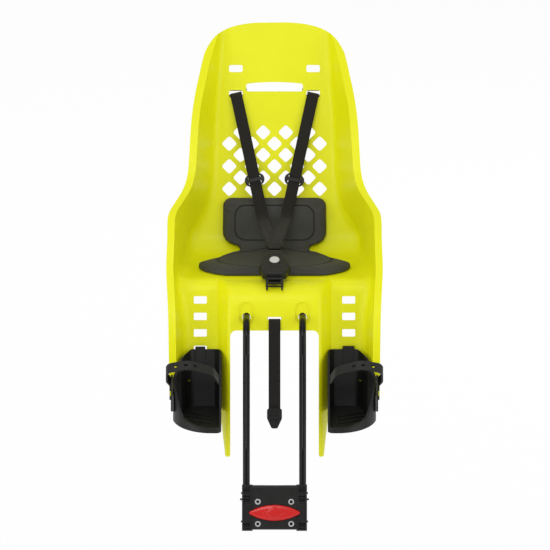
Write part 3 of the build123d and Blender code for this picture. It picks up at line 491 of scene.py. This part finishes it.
def dropTwins(piece):  # of two faces on the same points one goes
    pickOnly(piece)
    bpy.ops.object.mode_set(mode="EDIT")
    bpy.ops.mesh.select_mode(type="FACE")
    bpy.ops.mesh.select_all(action="DESELECT")
    bpy.ops.object.mode_set(mode="OBJECT")
    known = set()
    for face in piece.data.polygons:
        corners = frozenset(face.vertices)
        face.select = corners in known
        known.add(corners)
    bpy.ops.object.mode_set(mode="EDIT")
    bpy.ops.mesh.delete(type="ONLY_FACE")
    bpy.ops.mesh.select_mode(type="VERT")
    bpy.ops.object.mode_set(mode="OBJECT")


seatShell = copyMesh("seat_shell", "seatShell")
mergeFlats(seatShell, shellLook["merge"])
shellEdges = hardEdges(seatShell, shellLook)
cutGrid(seatShell, shellLook)
relaxBlends(seatShell, shellLook, shellEdges)
roundEdges(seatShell, shellLook["edge"], shellLook["sharp"])
dropTwins(seatShell)
smoothFaces(seatShell, shellLook["smooth"])
applyModifier(seatShell, "WEIGHTED_NORMAL", mode="FACE_AREA", weight=shellLook["weight"], keep_sharp=True)
settle(seatShell, "seat", "shell", "seat_shell")
print("shell:", len(seatShell.data.polygons), "faces")

# Release button: the leaf is crowned, with a flat for the thumb
buttonLook = {
    "merge": 0.5, "smooth": 40.0, "grid": 1.8, "across": (-45, 45), "depth": (0, 0), "up": (-22, 5),
    "front": -40.4, "middle": -8.5, "half": (46.0, 13.5), "crown": 3.4, "flat": 2.3,
    "tipRoom": 0.04, "fullness": 0.4,
}


def crownLeaf(piece, look):
    for vertex in piece.data.vertices:
        x, depth, up = seatCoords(vertex.co)
        if depth > look["front"]:
            continue
        reach = 1 - (x / look["half"][0]) ** 2
        rise = 1 - ((up - look["middle"]) / look["half"][1] / (reach + look["tipRoom"])) ** 2
        lift = min(look["flat"], look["crown"] * max(0.0, rise) * max(0.0, reach) ** look["fullness"])
        vertex.co = seatPoint(x, depth - lift, up)


releaseLeaf = copyMesh("release_button", "releaseButton")
mergeFlats(releaseLeaf, buttonLook["merge"])
cutGrid(releaseLeaf, buttonLook)
crownLeaf(releaseLeaf, buttonLook)
smoothFaces(releaseLeaf, buttonLook["smooth"])
settle(releaseLeaf, bodyOf["release_button"], "red", "release_button")
print("release button:", len(releaseLeaf.data.polygons), "faces")

# Seat pad: the foam swells under its skin, then the moulded lines are pressed in and darkened with painted
# shade
padLook = {
    "voxel": 0.0038, "pressure": 4.0, "frames": 20, "swell": 0.0028, "keepFlat": 0.25, "underside": -0.3,
    "smoothing": 3, "lineWidth": 3.4, "lineDepth": 1.7, "lineFacing": 0.4,
    "fineZone": 3.0, "fineCuts": 2, "fineFacing": 0.3,
    "backLine": {"middle": 482.5, "half": (67.5, 29.5), "corner": 18.0, "overPan": 15.0},
    "seatLine": {"middle": 164.0, "half": (97.0, 41.0)},
    "foldLine": {"up": 437.0, "wave": 3.5, "half": 62.0, "depth": 190.0},
    "panFront": (60.0, 373.0), "bendFrom": 14.0, "bendOver": 22.0,
}


def heightOverPan(depth, up, look):
    frontDepth, frontUp = look["panFront"]
    return up - frontUp - (depth - frontDepth) * math.tan(tubeLean)


def sitDirection(point, look):  # away from the shell: forwards on the back, upwards on the pan
    across, depth, up = seatCoords(point)
    onBack = (heightOverPan(depth, up, look) - look["bendFrom"]) / look["bendOver"]
    onBack = min(1.0, max(0.0, onBack))
    forwards = seatPoint(0, -1000, 0)
    upwards = Vector((0, 0, 1))
    return (forwards * onBack + upwards * (1 - onBack)).normalized()


def swellPad(piece, look):
    start = [vertex.co.copy() for vertex in piece.data.vertices]
    normals = [vertex.normal.copy() for vertex in piece.data.vertices]
    cloth = piece.modifiers.new("Cloth", "CLOTH")
    cloth.settings.use_pressure = True
    cloth.settings.uniform_pressure_force = look["pressure"]
    cloth.settings.effector_weights.gravity = 0
    cloth.point_cache.frame_start = 1
    cloth.point_cache.frame_end = look["frames"]
    for step in range(1, look["frames"] + 1):
        bpy.context.scene.frame_set(step)
    pickOnly(piece)
    bpy.ops.object.modifier_apply(modifier=cloth.name)
    bpy.context.scene.frame_set(1)
    for vertex, before, normal in zip(piece.data.vertices, start, normals):
        move = vertex.co - before
        facing = normal.dot(sitDirection(before, look))
        limit = look["swell"] * (look["keepFlat"] + (1 - look["keepFlat"]) * max(0.0, facing))
        if facing < look["underside"]:  # the side on the shell stays where it is
            limit = 0.0
        if move.length > limit:
            move = move.normalized() * limit
        vertex.co = before + move


def roundedBoxGap(x, y, half, corner):
    dx = abs(x) - half[0] + corner
    dy = abs(y) - half[1] + corner
    outside = math.hypot(max(dx, 0.0), max(dy, 0.0))
    return outside + min(max(dx, dy), 0.0) - corner


def ovalGap(x, y, half):
    return (math.hypot(x / half[0], y / half[1]) - 1) * min(half)


def lineGap(point, look):  # distance in millimetres to the nearest moulded line
    x, depth, up = seatCoords(point)
    box, oval, fold = look["backLine"], look["seatLine"], look["foldLine"]
    if heightOverPan(depth, up, look) > box["overPan"]:
        gap = abs(roundedBoxGap(x, up - box["middle"], box["half"], box["corner"]))
    else:
        gap = abs(ovalGap(x, depth - oval["middle"], oval["half"]))
    if abs(x) < fold["half"] and depth > fold["depth"]:
        wave = fold["wave"] * math.cos(math.pi * x / fold["half"])
        gap = min(gap, abs(up - fold["up"] - wave))
    return gap


def refineLines(piece, look):  # smaller faces along the lines
    pickOnly(piece)
    for face in piece.data.polygons:
        facing = face.normal.dot(sitDirection(face.center, look))
        face.select = facing > look["fineFacing"] and lineGap(face.center, look) < look["fineZone"]
    bpy.context.tool_settings.mesh_select_mode = (False, False, True)
    bpy.ops.object.mode_set(mode="EDIT")
    bpy.ops.mesh.subdivide(number_cuts=look["fineCuts"], smoothness=0)
    bpy.ops.object.mode_set(mode="OBJECT")


def pressLines(piece, look):
    piece.data.update()
    groove = piece.data.attributes.new("groove", "FLOAT", "POINT")
    halfWidth = look["lineWidth"] / 2
    moves = {}
    for vertex in piece.data.vertices:
        if vertex.normal.dot(sitDirection(vertex.co, look)) < look["lineFacing"]:
            continue
        gap = lineGap(vertex.co, look)
        if gap < halfWidth:
            share = 0.5 + 0.5 * math.cos(math.pi * gap / halfWidth)
            moves[vertex.index] = share, vertex.normal.copy()
    for index, (share, normal) in moves.items():
        piece.data.vertices[index].co -= normal * look["lineDepth"] / 1000 * share
        # the same share darkens the pad's colour there as painted shade
        groove.data[index].value = share ** 2


seatPad = copyMesh("seat_pad", "seatPad")
applyModifier(seatPad, "REMESH", mode="VOXEL", voxel_size=padLook["voxel"])
swellPad(seatPad, padLook)
applyModifier(seatPad, "SMOOTH", factor=0.5, iterations=padLook["smoothing"])
applyModifier(seatPad, "SUBSURF", levels=1, render_levels=1)
refineLines(seatPad, padLook)
pressLines(seatPad, padLook)
pickOnly(seatPad)
bpy.ops.object.shade_smooth()
settle(seatPad, "seat", "pad", "seat_pad")
print("pad:", len(seatPad.data.polygons), "faces")

# Webbing: a long grid laid along listed rows of (x, depth, up, turn about the depth axis in degrees)
beltLook = {"width": 20.0, "thick": 1.5, "columns": 4, "edge": 0.45, "sharp": 60.0, "smooth": 40.0}
shoulderRows = [
    (66.2, 254.9, 704.3, 12.0), (66.1, 247.0, 704.2, 12.0), (66.0, 242.0, 703.3, 12.0),
    (65.4, 239.6, 699.5, 12.0), (62.6, 238.5, 687.5, 12.2), (51.8, 234.8, 638.0, 12.2),
    (41.8, 231.3, 592.0, 12.2), (31.8, 227.8, 546.0, 12.2), (24.2, 225.1, 511.0, 12.1),
    (21.0, 222.8, 495.5, 11.0), (19.3, 213.5, 487.6, 8.0), (14.0, 188.0, 473.6, 4.0),
    (7.5, 160.5, 458.2, 1.0), (2.6, 139.5, 446.4, 0.0), (1.6, 134.6, 443.7, 0.0),
]
crotchRows = [
    (0, 91.8, 360, 0), (0, 91.8, 372, 0), (0, 91.6, 382, 0), (0, 89.0, 387.6, 0), (0, 81.5, 386.2, 0),
    (0, 68.6, 378.0, 0),
]
safetyRows = [
    (0, 73, 318.2, 0), (0, 64, 318.2, 0), (0, 59.6, 317.6, 0), (0, 57.8, 314.5, 0), (0, 57.8, 300, 0),
    (0, 57.8, 230, 0), (0, 57.8, 163.2, 0),
]
# The shoulder belts meet in the tongue: past row "after" one rises and the other sinks by "lift" millimetres
stackLook = {"lift": 1.05, "after": 9, "over": 2, "forwards": 0.63, "upwards": 0.78}


def layBelt(name, rows, look, mirrored=1):
    bpy.ops.object.select_all(action="DESELECT")
    bpy.ops.mesh.primitive_grid_add(x_subdivisions=look["columns"], y_subdivisions=len(rows) - 1, size=1)
    belt = bpy.context.object
    belt.name = name
    places = [seatPoint(mirrored * x, depth, up) for x, depth, up, turn in rows]
    along = [0.0]
    for before, after in zip(places, places[1:]):
        along.append(along[-1] + (after - before).length)
    for vertex in belt.data.vertices:
        row = round((vertex.co.y + 0.5) * (len(rows) - 1))
        turn = math.radians(mirrored * rows[row][3])
        across = seatPoint(math.cos(turn), 0, -math.sin(turn)) * 1000
        vertex.co = places[row] + across * vertex.co.x * look["width"] / 1000
    for corner in belt.data.uv_layers[0].data:
        row = round(corner.uv.y * (len(rows) - 1))
        corner.uv.y = along[row]
    applyModifier(belt, "SUBSURF", levels=2, render_levels=2, boundary_smooth="PRESERVE_CORNERS")
    applyModifier(belt, "SOLIDIFY", thickness=look["thick"] / 1000, offset=0)
    roundEdges(belt, look["edge"], look["sharp"])
    smoothFaces(belt, look["smooth"])
    return belt


def stackRows(rows, look, side):  # side 1 rises, side -1 sinks
    stacked = []
    for index, (x, depth, up, turn) in enumerate(rows):
        lift = side * look["lift"] * min(1.0, max(0.0, (index - look["after"]) / look["over"]))
        stacked.append((x, depth - look["forwards"] * lift, up + look["upwards"] * lift, turn))
    return stacked


leftBelt = layBelt("leftShoulderBelt", stackRows(shoulderRows, stackLook, 1), beltLook)
settle(leftBelt, "seat", "webbing", "left_shoulder_strap")
rightBelt = layBelt("rightShoulderBelt", stackRows(shoulderRows, stackLook, -1), beltLook, mirrored=-1)
settle(rightBelt, "seat", "webbing", "right_shoulder_strap")
settle(layBelt("crotchBelt", crotchRows, beltLook), "seat", "webbing", "crotch_strap")
settle(layBelt("safetyBelt", safetyRows, beltLook), "seat", "webbing", "safety_strap")
print("webbing laid")

# Clamp block: ladder of cells in front of each rod, and the small stops on the outer sides
ladderLook = {
    "middle": 46.5, "half": 6.6, "low": -33.0, "high": 33.5, "front": -38.0, "proud": 1.6, "sunk": 0.4,
    "rail": 1.6, "rungs": 9, "rung": 1.5, "rungBack": 0.5, "round": 0.4, "smooth": 34.0,
    "side": 55.0, "stops": [(24.8, 1.6), (14.2, 3.2), (-23.3, 1.8)], "stopDepth": (-30.0, -12.0),
    "stopHalf": 1.6, "stopSunk": 2.0, "stopRound": 0.7,
}


def seatBlock(low, high, bevel):  # a beveled bar between two corners given in seat millimetres
    middle = [(a + b) / 2 for a, b in zip(low, high)]
    bpy.ops.object.select_all(action="DESELECT")
    bpy.ops.mesh.primitive_cube_add(size=1)
    bar = bpy.context.object
    bpy.ops.object.mode_set(mode="EDIT")
    bpy.ops.mesh.select_all(action="SELECT")
    bpy.ops.transform.resize(value=[(b - a) / 1000 for a, b in zip(low, high)])
    bpy.ops.mesh.bevel(offset=bevel / 1000, segments=2, affect="EDGES")
    bpy.ops.object.mode_set(mode="OBJECT")
    for vertex in bar.data.vertices:
        x, depth, up = [c * 1000 + m for c, m in zip(vertex.co, middle)]
        vertex.co = seatPoint(x, depth, up)
    return bar


def joinBars(name, bars, smooth):
    bpy.ops.object.select_all(action="DESELECT")
    for bar in bars:
        bar.select_set(True)
    bpy.context.view_layer.objects.active = bars[0]
    bpy.ops.object.join()
    bars[0].name = name
    smoothFaces(bars[0], smooth)
    return bars[0]


def makeLadder(name, side, look):
    bars = []
    front = look["front"] - look["proud"]
    rear = look["front"] + look["sunk"]
    left = side * look["middle"] - look["half"]
    right = side * look["middle"] + look["half"]
    for rail in (left, right):
        low = (rail - look["rail"] / 2, front, look["low"])
        high = (rail + look["rail"] / 2, rear, look["high"])
        bars.append(seatBlock(low, high, look["round"]))
    pitch = (look["high"] - look["low"]) / (look["rungs"] - 1)
    for step in range(look["rungs"]):
        up = look["low"] + step * pitch
        low = (left, front + look["rungBack"], up - look["rung"] / 2)
        high = (right, rear, up + look["rung"] / 2)
        bars.append(seatBlock(low, high, look["round"]))
    for up, reach in look["stops"]:
        inner, outer = sorted((side * (look["side"] - look["stopSunk"]), side * (look["side"] + reach)))
        low = (inner, look["stopDepth"][0], up - look["stopHalf"])
        high = (outer, look["stopDepth"][1], up + look["stopHalf"])
        bars.append(seatBlock(low, high, look["stopRound"]))
    return joinBars(name, bars, look["smooth"])


settle(makeLadder("leftBlockLadder", 1, ladderLook), "seat", "black_plastic")
settle(makeLadder("rightBlockLadder", -1, ladderLook), "seat", "black_plastic")
print("clamp block detailed")

# Camera square to the seat tube, as the photograph
cameraLook = {
    "target": (0.85, 120.0, 393.3), "distance": 25.0, "field": 0.935, "sensor": 36.0, "reach": 100.0,
}
cameraData = bpy.data.cameras.new("photoCamera")
cameraData.sensor_width = cameraLook["sensor"]
cameraData.lens = cameraLook["sensor"] * cameraLook["distance"] / cameraLook["field"]
camera = bpy.data.objects.new("photoCamera", cameraData)
bpy.context.scene.collection.objects.link(camera)
sight = Vector((0, math.cos(tubeLean), -math.sin(tubeLean)))
camera.location = seatPoint(*cameraLook["target"]) - sight * cameraLook["distance"]
camera.rotation_euler = sight.to_track_quat("-Z", "Y").to_euler()
cameraData.clip_end = cameraLook["reach"]
bpy.context.scene.camera = camera

# Pale floor below the seat, and soft light
floorLook = {"size": 40.0, "drop": 0.35, "white": 0.96, "colour": (0.9, 0.9, 0.9, 1), "rough": 0.9}
bpy.ops.object.select_all(action="DESELECT")
bpy.ops.mesh.primitive_plane_add(size=floorLook["size"], location=(0, 0, cadBox[0].z - floorLook["drop"]))
floor = bpy.context.object
floor.name = "studioFloor"
floorFinish, floorTree, floorShader = newFinish("floor")
floorShader.inputs["Base Color"].default_value = floorLook["colour"]
floorShader.inputs["Roughness"].default_value = floorLook["rough"]
floorGlow = addNode(floorTree, "Emission", Strength=1.0)
floorMix = addNode(floorTree, "MixShader")
floorRay = addNode(floorTree, "LightPath")
floorSeen = floorRay.outputs["Is Camera Ray"]
for label in ("Is Glossy Ray", "Is Transmission Ray"):
    floorSeen = mathNode(floorTree, "MAXIMUM", floorSeen, floorRay.outputs[label])
floorShare = mathNode(floorTree, "MULTIPLY", floorSeen, floorLook["white"])
floorTree.links.new(floorShare, floorMix.inputs["Fac"])
floorTree.links.new(floorShader.outputs[0], floorMix.inputs[1])
floorTree.links.new(floorGlow.outputs[0], floorMix.inputs[2])
floorTree.links.new(floorMix.outputs[0], floorTree.nodes["Material Output"].inputs["Surface"])
floor.data.materials.append(floorFinish)

world = bpy.data.worlds.new("studioSky")
world.use_nodes = True
bpy.context.scene.world = world
skyLook = {"colour": (1, 1, 1, 1), "fill": 0.5}
sky = world.node_tree.nodes["Background"]
sky.inputs["Color"].default_value = skyLook["colour"]
sky.inputs["Strength"].default_value = skyLook["fill"]

lamps = {
    "headSoftbox": {"at": (-0.35, -1.4, 1.75), "size": 0.9, "power": 11.0},
    "leftSoftbox": {"at": (-2.3, -1.3, 1.0), "size": 1.6, "power": 22.0},
    "rightSoftbox": {"at": (2.3, -1.3, 1.0), "size": 1.6, "power": 20.0},
    "topSoftbox": {"at": (0.0, 0.2, 3.0), "size": 2.0, "power": 8.0},
    "rearSoftbox": {"at": (0.8, 3.2, 1.6), "size": 1.8, "power": 34.0},
}
lampAim = seatPoint(0, 150, 430)
for name, look in lamps.items():
    lampData = bpy.data.lights.new(name, "AREA")
    lampData.energy = look["power"]
    lampData.shape = "SQUARE"
    lampData.size = look["size"]
    lamp = bpy.data.objects.new(name, lampData)
    bpy.context.scene.collection.objects.link(lamp)
    lamp.location = look["at"]
    lamp.rotation_euler = (lampAim - lamp.location).to_track_quat("-Z", "Y").to_euler()
print("studio ready")
